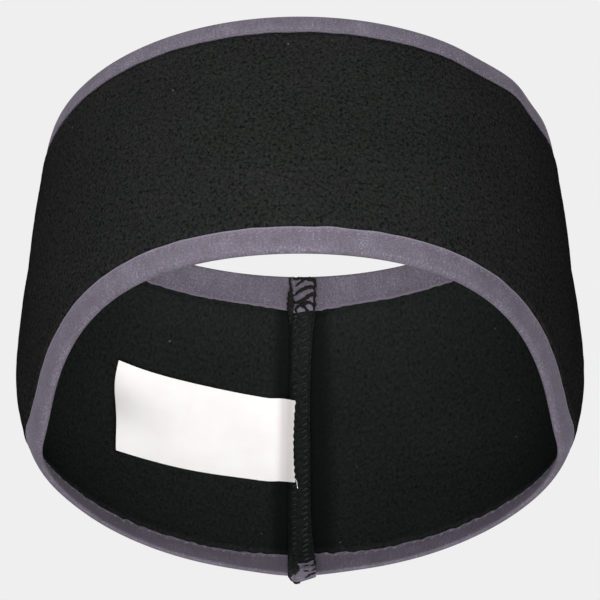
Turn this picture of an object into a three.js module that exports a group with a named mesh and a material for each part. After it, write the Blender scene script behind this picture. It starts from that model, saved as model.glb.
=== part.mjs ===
// Fleece headband. One strip of fleece, bound along both long edges with a folded elastic tape.
// Its short ends are sewn together at the back, the seam allowance is turned to one side of the
// seam inside the band, and a woven label is caught in the seam on the other side.
//
// Millimetres, Z up. The forehead is at -Y, the seam at +Y and the ears are at -X and +X.
// The origin is the middle of the head opening, at the mean height of the lower rim.
//
// A place on the cloth is given by three lengths. Along runs round the band from the seam
// line towards +X, inward is measured square to the wall towards the head, and up is measured
// from the lower rim towards the upper rim.
import * as THREE from 'three';

// Driving dimensions: the band as it is worn
const rimWidth = 162;
const rimDepth = 162;
const bandHeight = 100;

// Driving dimensions: fleece and tape, and the same layers pressed flat in the seam allowance
const fleeceThickness = 2.6;
const fleeceEdgeThickness = 1.0;
const tapeThickness = 1.0;
const tapeWidth = 8.2;
const swellLength = 2.6;
const allowanceFleeceThickness = 1.6;
const allowanceEdgeThickness = 0.8;
const allowanceTapeThickness = 0.7;
const clearance = 0.3;

// Driving dimensions: the seam
const allowanceWidth = 6.6;
const allowanceDropBelow = 2.4;
const allowanceDropAbove = 2.0;
const allowanceSlant = 1.8;
const seamOffset = -1.2;
const seamPull = 0.9;
const seamPullReach = 11;
const settleLength = 4.5;
const turnPress = 0.4;

// Driving dimensions: the label
const labelLength = 55;
const labelHeight = 29.5;
const labelThickness = 1.0;
const labelAboveRim = 35;
const labelEndLift = 1.4;
const labelCurlPower = 6;

// Sections of the wall, every 30 degrees from the seam to the forehead. The other half mirrors
// them. Low and top are places on the rims: shares of half the rim width, of half the rim depth
// and of the height. Puff is how far the wall stands out between the two rims, which their
// elastic draws in, as a share of the height. Puff lean puts more of it low down.
const sections = [
  { name: 'nape', low: [0, 0.936, -0.025], top: [0, 0.643, 0.985], puff: 0.15 },
  { name: 'nape side', low: [0.702, 0.735, 0.011], top: [0.602, 0.506, 1], puff: 0.14 },
  { name: 'behind ear', low: [0.987, 0.336, 0.017], top: [0.907, 0.24, 1.01], puff: 0.104 },
  { name: 'ear', low: [0.986, 0.064, -0.021], top: [0.948, 0.054, 0.993], puff: 0.073 },
  { name: 'temple', low: [0.923, -0.27, 0.007], top: [0.949, -0.227, 1.01], puff: 0.048 },
  { name: 'brow', low: [0.637, -0.802, 0.011], top: [0.644, -0.7, 1.01], puff: 0.036 },
  { name: 'forehead', low: [0, -1.064, -0.024], top: [0, -0.933, 0.995], puff: 0.035 },
];
const puffPower = 2.4;
const puffLean = 0.15;

// Shallow dents of the wall. Around is in degrees from the back towards +X, up and tall are
// shares of the height, across is in degrees, and deep is a share of the fleece thickness.
const dents = [
  { name: 'crown ripple near the brow', around: 148, up: 0.94, deep: 0.34, across: 4.5, tall: 0.07 },
  { name: 'crown ripple between', around: 139, up: 0.95, deep: -0.26, across: 4.0, tall: 0.06 },
  { name: 'crown ripple near the temple', around: 131, up: 0.94, deep: 0.34, across: 4.5, tall: 0.07 },
  { name: 'hollow over the ear', around: 84, up: 0.50, deep: 0.38, across: 14, tall: 0.22 },
  { name: 'hollow over the other ear', around: 279, up: 0.46, deep: 0.30, across: 15, tall: 0.20 },
  { name: 'soft fold beside the seam', around: 26, up: 0.62, deep: 0.45, across: 8, tall: 0.30 },
  { name: 'soft fold beyond the label', around: 318, up: 0.30, deep: 0.38, across: 9, tall: 0.26 },
];

// The label's rise over the seam allowance. Both columns are shares of the ridge's height:
// how far back from the sewn end, and how high above where it lies flat on the wall.
const labelRise = [
  { back: 0.00, lift: 1.00 },
  { back: 0.22, lift: 0.90 },
  { back: 0.48, lift: 0.66 },
  { back: 0.78, lift: 0.36 },
  { back: 1.20, lift: 0.12 },
  { back: 1.75, lift: 0.00 },
];

// Steps of the faceted surfaces, and the small angles used in working them out
const roundSteps = 76;
const turnSteps = 6;
const bendSteps = 3;
const flapSteps = 2;
const tapeArcSteps = 4;
const wallSteps = 7;
const labelSteps = 14;
const labelRows = 4;
const arcSamples = 720;
const tangentStep = 0.01;
const sameAngle = 1e-9;

const fullTurn = 2 * Math.PI;
const mix = THREE.MathUtils.lerp;

// The twelve sections of the whole band: the table, and its mirrored rows in reverse
function wholeRing() {
  const mirrored = sections.slice(1, -1).reverse();
  const flip = ([x, y, z]) => [-x, y, z];
  const flipped = mirrored.map((row) => ({ ...row, low: flip(row.low), top: flip(row.top) }));
  return [...sections, ...flipped];
}
const ring = wholeRing();

// How much a section counts at an angle away from it: smooth waves that pass through each one
function sectionWeight(angle) {
  const half = angle / 2;
  if (Math.abs(Math.sin(half)) < sameAngle) return 1;
  return Math.sin(ring.length * half) / (ring.length * Math.tan(half));
}

// The lower and upper rim and the puff of the wall at an angle round the band
function sectionAt(angle) {
  const scale = new THREE.Vector3(rimWidth / 2, rimDepth / 2, bandHeight);
  const low = new THREE.Vector3();
  const top = new THREE.Vector3();
  let puff = 0;
  ring.forEach((row, i) => {
    const weight = sectionWeight(angle - (fullTurn * i) / ring.length);
    low.addScaledVector(new THREE.Vector3(...row.low).multiply(scale), weight);
    top.addScaledVector(new THREE.Vector3(...row.top).multiply(scale), weight);
    puff += weight * row.puff * bandHeight;
  });
  return { low, top, puff };
}

// Middle line of the wall, halfway up
function middleAt(angle) {
  const { low, top } = sectionAt(angle);
  return low.add(top).multiplyScalar(0.5);
}

// Length round the middle line at each sampled angle
function arcTable() {
  const lengths = [0];
  let last = middleAt(0);
  for (let i = 1; i <= arcSamples; i += 1) {
    const next = middleAt((fullTurn * i) / arcSamples);
    lengths.push(lengths[i - 1] + next.distanceTo(last));
    last = next;
  }
  return lengths;
}
const arcs = arcTable();
const loopLength = arcs[arcSamples];

// Angle round the band for a length along it, measured from the seam line
function angleAt(along) {
  const length = THREE.MathUtils.euclideanModulo(along + seamOffset, loopLength);
  let i = 1;
  while (arcs[i] < length) i += 1;
  const share = (length - arcs[i - 1]) / (arcs[i] - arcs[i - 1]);
  return (fullTurn * (i - 1 + share)) / arcSamples;
}

// How deep the dents are at a place of the wall
function dentDepth(angle, upShare) {
  let depth = 0;
  for (const dent of dents) {
    const across = (THREE.MathUtils.radToDeg(angle) - dent.around) / dent.across;
    const tall = (upShare - dent.up) / dent.tall;
    depth += dent.deep * fleeceThickness * Math.exp(-across * across - tall * tall);
  }
  return depth;
}

// Length from the seam line, less than zero on the label's side
function fromSeamLine(along) {
  return THREE.MathUtils.euclideanModulo(along + loopLength / 2, loopLength) - loopLength / 2;
}

// How far the seam pulls the wall down: most at the lower rim, nothing at the upper rim
function seamPullAt(along, upShare) {
  const reach = fromSeamLine(along) / seamPullReach;
  return seamPull * Math.exp(-reach * reach) * (1 - upShare);
}

// A point in space from its three lengths
function placeOnBand(along, inward, up) {
  const angle = angleAt(along);
  const { low, top, puff } = sectionAt(angle);
  const tangent = middleAt(angle + tangentStep).sub(middleAt(angle - tangentStep));
  const rise = top.clone().sub(low);
  const towardsHead = tangent.cross(rise).normalize();
  const upShare = up / bandHeight;
  const swell = Math.max(0, 1 - Math.abs(2 * upShare - 1) ** puffPower);
  const leaning = 1 + puffLean * (1 - 2 * upShare);
  const offset = inward - puff * swell * leaning + dentDepth(angle, upShare);
  const risen = upShare - seamPullAt(along, upShare) / bandHeight;
  return low.addScaledVector(rise, risen).addScaledVector(towardsHead, offset);
}

// 0 where the fleece is pressed flat inside the tape, 1 where it is at its full thickness
function swellAt(up) {
  const fromRim = Math.min(up, bandHeight - up);
  return THREE.MathUtils.smoothstep(fromRim, tapeWidth + clearance, tapeWidth + clearance + swellLength);
}

// Thicknesses at a place: press is 0 in the wall and 1 in the seam allowance
function edgeHalf(press) {
  return mix(fleeceEdgeThickness, allowanceEdgeThickness, press) / 2;
}
function tapeAt(press) {
  return mix(tapeThickness, allowanceTapeThickness, press);
}
function fullHalf(press) {
  return mix(fleeceThickness, allowanceFleeceThickness, press) / 2;
}
function fleeceHalf(up, press) {
  return mix(edgeHalf(press), fullHalf(press), swellAt(up));
}
function boundHalf(press) {
  return edgeHalf(press) + clearance + tapeAt(press);
}
function layerHalf(up, press) {
  return mix(boundHalf(press), fullHalf(press), swellAt(up));
}

// The strip seen from above where it turns into the seam. The first layer of the allowance
// lies on the wall, and the second layer lies on the first. Turn press is how much a layer is
// pressed by the time it leaves its turn.
function seamAt(up) {
  const wall = layerHalf(up, 0);
  const flap = layerHalf(up, 1);
  const firstInward = wall + clearance + flap;
  const radius = firstInward / 2;
  const centre = clearance / 2 + layerHalf(up, (1 + turnPress) / 2) + radius;
  const secondInward = firstInward + clearance + 2 * flap;
  return { firstInward, secondInward, radius, centre };
}

// Press within a turn, from 1 at its allowance side to turnPress at its wall side
function pressInTurn(angle) {
  return mix(1, turnPress, angle / Math.PI);
}

// Radius of the second layer's turn, which goes round the first one's
function outerRadius(up, angle) {
  const layer = layerHalf(up, pressInTurn(angle));
  return seamAt(up).radius + clearance + 2 * layer;
}

// Places along the strip, one function of the height for each station. Each gives the middle
// of the layer, which way its outer face looks, and how much it is pressed.
function firstFlap(share) {
  return (up) => {
    const seam = seamAt(up);
    const along = mix(seam.centre, allowanceWidth, share);
    return { along, inward: seam.firstInward, faceAlong: 0, faceInward: 1, press: 1 };
  };
}
function firstTurn(angle) {
  return (up) => {
    const seam = seamAt(up);
    return {
      along: seam.centre - seam.radius * Math.sin(angle),
      inward: seam.radius + seam.radius * Math.cos(angle),
      faceAlong: -Math.sin(angle),
      faceInward: Math.cos(angle),
      press: pressInTurn(angle),
    };
  };
}
function roundTheHead(share) {
  return (up) => {
    const seam = seamAt(up);
    const start = seam.centre;
    const end = loopLength + seam.centre - outerRadius(up, Math.PI / 2) - seam.radius;
    const along = mix(start, end, share);
    const fromSeam = Math.min(along - start, end - along);
    const press = turnPress * (1 - THREE.MathUtils.smoothstep(fromSeam, 0, settleLength));
    return { along, inward: 0, faceAlong: 0, faceInward: -1, press };
  };
}
function secondBend(angle) {
  return (up) => {
    const seam = seamAt(up);
    const upright = loopLength + seam.centre - outerRadius(up, Math.PI / 2);
    return {
      along: upright - seam.radius + seam.radius * Math.sin(angle),
      inward: seam.radius - seam.radius * Math.cos(angle),
      faceAlong: Math.sin(angle),
      faceInward: -Math.cos(angle),
      press: mix(turnPress, (1 + turnPress) / 2, angle / (Math.PI / 2)),
    };
  };
}
function secondTurn(angle) {
  return (up) => {
    const seam = seamAt(up);
    const radius = outerRadius(up, angle);
    return {
      along: loopLength + seam.centre - radius * Math.sin(angle),
      inward: seam.radius + radius * Math.cos(angle),
      faceAlong: Math.sin(angle),
      faceInward: -Math.cos(angle),
      press: pressInTurn(angle),
    };
  };
}
function secondFlap(share) {
  return (up) => {
    const seam = seamAt(up);
    const along = loopLength + mix(seam.centre, allowanceWidth, share);
    return { along, inward: seam.secondInward, faceAlong: 0, faceInward: -1, press: 1 };
  };
}

// Shares of the way round: a few stations close to the seam, and even ones between
function roundShares() {
  const close = [1 / 3, 2 / 3, 1].map((step) => (step * settleLength) / loopLength);
  const even = [];
  const margin = (2 * settleLength) / loopLength;
  for (let i = 0; i <= roundSteps; i += 1) even.push(mix(margin, 1 - margin, i / roundSteps));
  return [0, ...close, ...even, ...close.map((share) => 1 - share).reverse(), 1];
}

// The whole strip, from the cut end of its first layer to the cut end of its second
function stripStations() {
  const stations = [];
  for (let i = flapSteps; i > 0; i -= 1) stations.push(firstFlap(i / flapSteps));
  for (let i = 0; i < turnSteps; i += 1) stations.push(firstTurn((Math.PI * i) / turnSteps));
  for (const share of roundShares()) stations.push(roundTheHead(share));
  for (let i = 1; i < bendSteps; i += 1) stations.push(secondBend((Math.PI / 2) * (i / bendSteps)));
  for (let i = bendSteps; i > 0; i -= 1) stations.push(secondTurn((Math.PI / 2) * (i / bendSteps)));
  for (let i = 0; i <= flapSteps; i += 1) stations.push(secondFlap(i / flapSteps));
  return stations;
}
const stations = stripStations();

// How far the seam allowance hangs below the wall: more the further in, and with its lower end
// slanted, lowest beside the seam line
function dropAt(place, up) {
  const turned = THREE.MathUtils.smoothstep(place.inward, 0, seamAt(up).secondInward);
  const besideSeam = 1 - fromSeamLine(place.along) / allowanceWidth;
  const slant = allowanceSlant * THREE.MathUtils.clamp(besideSeam, 0, 1) * (1 - up / bandHeight);
  return turned * (mix(allowanceDropBelow, allowanceDropAbove, up / bandHeight) + slant);
}

// A point of the strip, at a distance from the middle of its layer towards its outer face
function stripPoint(station, up, towardsFace) {
  const place = station(up);
  const along = place.along + towardsFace * place.faceAlong;
  const inward = place.inward + towardsFace * place.faceInward;
  return placeOnBand(along, inward, up - dropAt(place, up));
}

// A closed solid between two skins. Each skin is a grid: a line of points for each station
// along the piece, with a point for each step across it. With the stations running right and
// the steps running up, the first skin is the one that faces the viewer.
function solidBetween(outer, inner) {
  const lines = outer.length;
  const steps = outer[0].length;
  const positions = [...outer.flat(), ...inner.flat()].flatMap((point) => point.toArray());
  const index = [];
  const onOuter = (i, j) => i * steps + j;
  const onInner = (i, j) => (lines + i) * steps + j;
  const quad = (a, b, c, d) => index.push(a, b, c, a, c, d);
  for (let i = 0; i < lines - 1; i += 1) {
    for (let j = 0; j < steps - 1; j += 1) {
      quad(onOuter(i, j), onOuter(i + 1, j), onOuter(i + 1, j + 1), onOuter(i, j + 1));
      quad(onInner(i, j), onInner(i, j + 1), onInner(i + 1, j + 1), onInner(i + 1, j));
    }
    const end = steps - 1;
    quad(onOuter(i, 0), onInner(i, 0), onInner(i + 1, 0), onOuter(i + 1, 0));
    quad(onOuter(i, end), onOuter(i + 1, end), onInner(i + 1, end), onInner(i, end));
  }
  for (let j = 0; j < steps - 1; j += 1) {
    const last = lines - 1;
    quad(onOuter(0, j), onOuter(0, j + 1), onInner(0, j + 1), onInner(0, j));
    quad(onOuter(last, j), onInner(last, j), onInner(last, j + 1), onOuter(last, j + 1));
  }
  const geometry = new THREE.BufferGeometry();
  geometry.setAttribute('position', new THREE.Float32BufferAttribute(positions, 3));
  geometry.setIndex(index);
  geometry.computeVertexNormals();
  return geometry;
}

// Fleece strip: pressed flat inside the tape, at its full thickness between
function fleeceRows() {
  const hidden = tapeThickness + 2 * clearance;
  const tapeEnd = tapeWidth + clearance;
  const free = tapeEnd + swellLength;
  const rows = [hidden, tapeEnd, tapeEnd + swellLength / 2];
  for (let i = 0; i < wallSteps; i += 1) rows.push(mix(free, bandHeight / 2, (2 * i) / wallSteps));
  const below = rows.filter((up) => up < bandHeight / 2);
  return [...below, ...below.map((up) => bandHeight - up).reverse()];
}
function fleeceBand() {
  const rows = fleeceRows();
  const skin = (side) => stations.map((station) => rows.map((up) => {
    const { press } = station(up);
    return stripPoint(station, up, side * fleeceHalf(up, press));
  }));
  return solidBetween(skin(-1), skin(1));
}

// Tape: folded round an edge of the strip. Each column across it has a point on its outside
// and one on its inside, towards the fleece.
function tapeColumns(press) {
  const outside = boundHalf(press);
  const inside = outside - tapeAt(press);
  const columns = [{ from: tapeWidth, out: outside, fromIn: tapeWidth, in: inside }];
  for (let i = 0; i <= tapeArcSteps; i += 1) {
    const angle = Math.PI * (0.5 - i / tapeArcSteps);
    columns.push({
      from: outside * (1 - Math.cos(angle)),
      out: outside * Math.sin(angle),
      fromIn: outside - inside * Math.cos(angle),
      in: inside * Math.sin(angle),
    });
  }
  columns.push({ from: tapeWidth, out: -outside, fromIn: tapeWidth, in: -inside });
  return columns;
}
function binding(isUpper) {
  const upAt = (fromRim) => (isUpper ? bandHeight - fromRim : fromRim);
  const skin = (fromKey, sideKey) => stations.map((station) => {
    const { press } = station(upAt(0));
    return tapeColumns(press).map((column) => stripPoint(station, upAt(column[fromKey]), column[sideKey]));
  });
  const outside = skin('from', 'out');
  const inside = skin('fromIn', 'in');
  return isUpper ? solidBetween(inside, outside) : solidBetween(outside, inside);
}

// Label: over the allowance at its sewn end, flat on the wall, and lifting a little at its
// free end
function labelStations() {
  const seam = seamAt(bandHeight / 2);
  const flat = fullHalf(0) + clearance + labelThickness / 2;
  const ridge = seam.secondInward + fullHalf(1) - fullHalf(0);
  const rising = labelRise.map((row) => ({ along: -row.back * ridge, inward: flat + row.lift * ridge }));
  const restStart = -rising[rising.length - 1].along;
  const resting = [];
  for (let i = 1; i <= labelSteps; i += 1) {
    const share = i / labelSteps;
    const curl = labelEndLift * share ** labelCurlPower;
    resting.push({ along: -mix(restStart, labelLength, share), inward: flat + curl });
  }
  return [...rising, ...resting];
}
function careLabel() {
  const line = labelStations();
  const facing = line.map((place, i) => {
    const before = line[Math.max(0, i - 1)];
    const after = line[Math.min(line.length - 1, i + 1)];
    const heading = new THREE.Vector2(after.along - before.along, after.inward - before.inward).normalize();
    return { along: -heading.y, inward: heading.x };
  });
  const skin = (side) => line.map((place, i) => {
    const shift = (side * labelThickness) / 2;
    const along = place.along + shift * facing[i].along;
    const inward = place.inward + shift * facing[i].inward;
    const points = [];
    for (let j = 0; j <= labelRows; j += 1) {
      points.push(placeOnBand(along, inward, labelAboveRim + (labelHeight * j) / labelRows));
    }
    return points;
  });
  return solidBetween(skin(1), skin(-1));
}

function piece(name, geometry, color, roughness) {
  const material = new THREE.MeshStandardMaterial({ color, roughness, metalness: 0 });
  const mesh = new THREE.Mesh(geometry, material);
  mesh.name = name;
  return mesh;
}

const headband = new THREE.Group();
headband.add(
  piece('fleece_band', fleeceBand(), 0x1b1d1d, 0.95),
  piece('lower_binding', binding(false), 0x6f6877, 0.7),
  piece('upper_binding', binding(true), 0x6f6877, 0.7),
  piece('care_label', careLabel(), 0xf4f2f1, 0.55),
);

export default headband;
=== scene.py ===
# A fleece headband with both edges bound in folded elastic tape, held open as it is worn and
# seen from below. The shape is worked out from the same sizes and sections as the solids:
# along the strip from the seam, inward towards the head, and up from the lower rim, in mm.
import math

import bpy
import numpy as np
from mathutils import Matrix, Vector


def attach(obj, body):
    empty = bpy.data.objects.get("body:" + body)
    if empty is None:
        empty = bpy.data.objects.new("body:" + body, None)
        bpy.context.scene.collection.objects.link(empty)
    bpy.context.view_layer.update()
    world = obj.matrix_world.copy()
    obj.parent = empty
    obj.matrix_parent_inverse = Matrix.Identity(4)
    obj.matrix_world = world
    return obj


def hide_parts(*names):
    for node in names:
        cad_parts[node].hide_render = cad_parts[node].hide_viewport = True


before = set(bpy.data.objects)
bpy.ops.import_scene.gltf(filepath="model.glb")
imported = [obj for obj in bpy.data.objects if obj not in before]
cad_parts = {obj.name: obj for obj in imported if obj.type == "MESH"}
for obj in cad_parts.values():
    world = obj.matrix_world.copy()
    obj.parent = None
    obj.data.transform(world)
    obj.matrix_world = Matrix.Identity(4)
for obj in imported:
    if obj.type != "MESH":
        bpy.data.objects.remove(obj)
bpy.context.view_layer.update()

MM = 0.001

# The band as it is worn
RIM_WIDTH = 162.0
RIM_DEPTH = 162.0
BAND_HEIGHT = 100.0
SECTIONS = (
    # name, lower rim x, y, z, upper rim x, y, z, puff: shares of half width, half depth, height
    ("nape", 0.0, 0.936, -0.025, 0.0, 0.643, 0.985, 0.15),
    ("nape side", 0.702, 0.735, 0.011, 0.602, 0.506, 1.0, 0.14),
    ("behind ear", 0.987, 0.336, 0.017, 0.907, 0.24, 1.01, 0.104),
    ("ear", 0.986, 0.064, -0.021, 0.948, 0.054, 0.993, 0.073),
    ("temple", 0.923, -0.27, 0.007, 0.949, -0.227, 1.01, 0.048),
    ("brow", 0.637, -0.802, 0.011, 0.644, -0.7, 1.01, 0.036),
    ("forehead", 0.0, -1.064, -0.024, 0.0, -0.933, 0.995, 0.035),
)
PUFF_POWER = 2.4
PUFF_LEAN = 0.15
DENTS = (
    # degrees round from the seam, up share, depth in mm, degrees across, share tall
    (148, 0.94, 0.88, 4.5, 0.07),
    (139, 0.95, -0.68, 4.0, 0.06),
    (131, 0.94, 0.88, 4.5, 0.07),
    (84, 0.50, 0.99, 14, 0.22),
    (279, 0.46, 0.78, 15, 0.20),
    (26, 0.62, 1.17, 8, 0.30),
    (318, 0.30, 0.99, 9, 0.26),
)

# Thickness of cloth and tape: in the wall, and pressed flat in the seam allowance. The fleece
# swells from its thickness in the tape to its full one, with a soft lip of pile beside the tape.
FLEECE = (2.7, 1.7)
FLEECE_IN_TAPE = (1.5, 1.0)
TAPE = (0.55, 0.45)
TAPE_WIDTH = 8.2
SWELL_LENGTH = 2.2
PLY_GAP = 0.06
PILE_LIP = 0.28

# Width of each binding's leg on the inside of the wall: away from the seam, how much more beside
# it, where the fleece doesn't cover it, and how ragged the fleece beside its edge is
INNER_LEGS = {"upper": (8.5, 1.2, 0.12), "lower": (7.6, 1.4, 0.42)}
# Where along the strip the inner legs are widest beside the seam, and how far that reaches
INNER_LEG_WIDENS = (3, 12)
OUTER_LEG_WAVES = 0.16
# The same legs on the seam allowance: length from the seam line, and the leg's width there
RIDGE_LEGS = {
    "upper": ((-2.4, 9.3), (6.6, 8.9)),
    "lower": ((-2.4, 5.4), (0.0, 6.3), (2.6, 5.9), (4.2, 7.2), (6.2, 9.6)),
}
RIDGE_LEG_STARTS = 1.5

# The folded tape's relief: depth and half width of the groove that the stitches pull, height and
# half width of the lip at the edge, and how far the rest crowns. The groove's distance from the
# leg's edge is given for the outer and the inner leg.
GROOVE = (0.18, 0.55)
GROOVE_INSETS = ((1, 1.3), (-1, 1.2))
EDGE_LIP = (0.10, 0.4)
CROWN = 0.12
SELVEDGE_WIDTH = 0.45
SELVEDGE_PALE = (0.85, 0.75)

# The fleece's pebbles, as height in mm and how much they are drawn out upwards, on each face
PEBBLES = {1: (0.10, 0.7), -1: (0.09, 0.8)}
PEBBLE_TOP = 0.35
# Painted shade beside the ridge: where it starts to fade and where it ends, right and left of the seam
RIDGE_SHADE_FADE = ((7.5, 13.5), (4.5, 8.5))

# The seam: its allowance is narrower halfway up, hangs below the wall at the lower and the upper
# rim, and slants towards its cut edge. It pulls the wall down beside it.
ALLOWANCE_WIDTH = 6.6
ALLOWANCE_NARROWS = 2.8
ALLOWANCE_DROP = (2.4, 2.0)
ALLOWANCE_SLANT = 1.8
SEAM_PULL = 0.9
SEAM_PULL_REACH = 11
SEAM_OFFSET = -1.2
SETTLE_LENGTH = 4.5
TURN_PRESS = 0.4

# The label
LABEL_LENGTH = 54.4
LABEL_THICKNESS = 0.22
# Heights of its lower and upper edge at shares of its length from the sewn end
LABEL_EDGES = ((0, 35.8, 62.8), (0.5, 36.2, 64.8), (1, 34.1, 64.4))
LABEL_END_LIFT = 2.2
LABEL_END_BOW = 0.65
LABEL_END_SLANT = 1.3
# The sewn end's small scallops between stitches: depth and spacing
LABEL_TEETH = (0.35, 2.35)
LABEL_SEWN_BOW = 0.55
# How far the sewn end hangs: depth, distance from the seam and reach
LABEL_HANGS = ((0.85, 0.0, 2.0), (-0.45, 4.8, 2.4))
# How it comes down from the ridge: distance from the sewn end and lift, as shares of the ridge
LABEL_RISE = ((0.0, 1.0), (0.22, 0.9), (0.48, 0.66), (0.78, 0.36), (1.2, 0.12), (1.75, 0.0))

# Stitches through the bindings
BINDING_STITCH = 2.85
STITCH_SIZE = (1.7, 0.30, 0.34)
# Rows of stitches: face of the wall, distance from the leg's edge, and how deep they are sunk
STITCH_ROWS = {
    "upper": ((1, 1.3, 0.24), (-1, 1.1, 0.05)),
    "lower": ((1, 1.3, 0.24), (-1, 1.1, 0.2)),
}
# The upper binding's inner row runs further from the edge beside the seam: how far, and for how
# long along the strip
ROW_WANDERS = (1.1, 45)

# Overlock loops that show on the bindings' ends: start and end as across and height on the
# seam allowance, bow, twist and thickness in mm
TOP_LOOPS = (
    ((-3.7, 99.9), (-0.4, 99.9), 0.0, 0.0, 0.58),
    ((-0.4, 99.9), (1.6, 99.9), 0.1, 0.0, 0.40),
    ((1.2, 99.6), (4.9, 98.8), 0.2, 0.0, 0.72),
    ((-2.2, 97.8), (1.4, 99.8), 0.1, 0.0, 0.42),
    ((-2.6, 95.4), (5.6, 96.8), 1.1, 0.0, 0.62),
    ((-3.4, 93.6), (5.6, 94.8), 0.2, -0.65, 0.66),
    ((-2.5, 91.6), (2.0, 93.1), 0.3, 0.0, 0.52),
    ((1.0, 93.6), (5.0, 92.0), -0.05, 0.0, 0.50),
    ((-2.2, 91.4), (-1.2, 89.8), 0.0, 0.2, 0.40),
    ((-0.6, 92.2), (2.4, 90.6), 0.0, 0.2, 0.50),
)
BOTTOM_LOOPS = (
    ((0.1, 4.9), (1.5, 4.5), 0.0, 0.0, 0.26),
    ((1.9, 4.2), (4.6, 5.1), -0.5, 0.0, 0.34),
    ((-0.3, 2.9), (1.6, 2.2), -0.1, 0.0, 0.28),
    ((2.1, 2.1), (4.3, 2.7), -0.25, 0.0, 0.28),
    ((0.5, 0.5), (3.6, 0.9), 0.2, 0.0, 0.34),
)
LOOP_SPACING = 2.15
# The chain of looper thread along the cut edge: spacing, thickness and its swelling, and the
# heights between which it moves out over the upper binding's end
CHAIN_STITCH = 2.7
CHAIN_THICKNESS = (0.36, 0.10)
CHAIN_OUT = (84, 91)

# Bundles of thread at both ends of the seam: rows of across, height, lift and half thickness
SEAM_CORDS = (
    ((-5.0, 99.7, 0.4, 0.5), (-4.9, 98.9, 0.4, 0.62), (-4.1, 97.9, 0.25, 0.52), (-3.7, 97.0, 0.2, 0.65),
     (-3.75, 95.6, 0.25, 1.3), (-3.75, 93.9, 0.2, 1.5), (-3.8, 92.0, 0.2, 1.5), (-4.1, 90.2, 0.05, 1.3),
     (-4.3, 88.5, -0.2, 1.25), (-4.3, 85.0, -0.9, 1.0)),
    ((-3.3, 12.0, -0.9, 1.0), (-3.1, 9.0, 0.0, 1.15), (-3.0, 6.0, 0.15, 1.2), (-2.9, 4.0, 0.2, 1.25),
     (-3.0, 2.6, 0.2, 1.1), (-3.5, 1.3, 0.2, 0.8), (-3.9, 0.5, 0.2, 0.5)),
    ((-2.2, 6.2, 0.0, 0.8), (-1.7, 4.8, 0.1, 0.95), (-1.6, 3.5, 0.1, 0.95), (-2.3, 2.3, 0.1, 0.7)),
    ((-5.2, 2.0, 0.1, 0.35), (-4.4, 0.9, 0.15, 0.42), (-3.7, 0.15, 0.2, 0.45), (-2.8, -0.2, 0.25, 0.42),
     (-1.9, -0.3, 0.2, 0.38), (-1.1, -0.1, 0.1, 0.3)),
    ((-4.9, 8.2, 0.0, 0.3), (-4.1, 7.4, 0.1, 0.5), (-3.6, 7.0, 0.1, 0.5)),
    ((-5.0, 6.0, 0.0, 0.3), (-4.2, 5.4, 0.1, 0.5), (-3.6, 5.0, 0.1, 0.5)),
    ((-4.9, 3.8, 0.0, 0.3), (-4.1, 3.2, 0.1, 0.5), (-3.6, 2.8, 0.1, 0.5)),
)


def mix(a, b, share):
    return a + (b - a) * share


def smooth(value, low, high):
    share = np.clip((value - low) / (high - low), 0, 1)
    return share * share * (3 - 2 * share)


# The wall's surface


def whole_ring():
    half = [row[1:] for row in SECTIONS]
    other = [(-a, b, c, -d, e, f, g) for a, b, c, d, e, f, g in half[-2:0:-1]]
    halves = (RIM_WIDTH / 2, RIM_DEPTH / 2, BAND_HEIGHT)
    scale = halves + halves + (BAND_HEIGHT,)
    return np.array(half + other) * scale


RING = whole_ring()


def sections_at(angle):
    """Lower rim, upper rim and puff at angles round the band."""
    count = len(RING)
    half = (np.asarray(angle, float)[..., None] - 2 * math.pi * np.arange(count) / count) / 2
    close = np.abs(np.sin(half)) < 1e-9
    tangent = np.where(close, 1.0, np.tan(half))
    weight = np.where(close, 1.0, np.sin(count * half) / (count * tangent))
    row = weight @ RING
    return row[..., :3], row[..., 3:6], row[..., 6]


def middle_at(angle):
    low, top, _ = sections_at(angle)
    return (low + top) / 2


ARC_ANGLES = np.linspace(0, 2 * math.pi, 1441)
ARC_STEPS = np.linalg.norm(np.diff(middle_at(ARC_ANGLES), axis=0), axis=1)
ARCS = np.concatenate([[0.0], np.cumsum(ARC_STEPS)])
LOOP = ARCS[-1]


def angle_at(along):
    return np.interp(np.mod(along + SEAM_OFFSET, LOOP), ARCS, ARC_ANGLES)


def dent_depth(angle, up_share):
    depth = np.zeros(np.shape(angle))
    for around, up, deep, across, tall in DENTS:
        side = (np.degrees(angle) - around) / across
        rise = (up_share - up) / tall
        depth += deep * np.exp(-side * side - rise * rise)
    return depth


def on_band(along, inward, up):
    """Points in space, in mm, from lengths along the strip, inward and up."""
    along, inward, up = np.broadcast_arrays(along, inward, up)
    angle = angle_at(along)
    low, top, puff = sections_at(angle)
    rise = top - low
    ahead = middle_at(angle + 0.01) - middle_at(angle - 0.01)
    to_head = np.cross(ahead, rise)
    to_head /= np.linalg.norm(to_head, axis=-1, keepdims=True)
    up_share = up / BAND_HEIGHT
    swell = np.clip(1 - np.abs(2 * up_share - 1) ** PUFF_POWER, 0, None)
    leaning = 1 + PUFF_LEAN * (1 - 2 * up_share)
    offset = inward - puff * swell * leaning + dent_depth(angle, up_share)
    length = np.mod(along, LOOP)
    near_seam = np.exp(-((np.minimum(length, LOOP - length) / SEAM_PULL_REACH) ** 2))
    risen = up_share - SEAM_PULL * near_seam * (1 - up_share) / BAND_HEIGHT
    return low + rise * risen[..., None] + to_head * offset[..., None]


# The strip's layers


def swell_at(up, leg=TAPE_WIDTH):
    """0 where the fleece is pressed flat inside the tape, 1 where it is at its full thickness."""
    from_rim = np.minimum(up, BAND_HEIGHT - up)
    return smooth(from_rim, leg, leg + SWELL_LENGTH)


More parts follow.
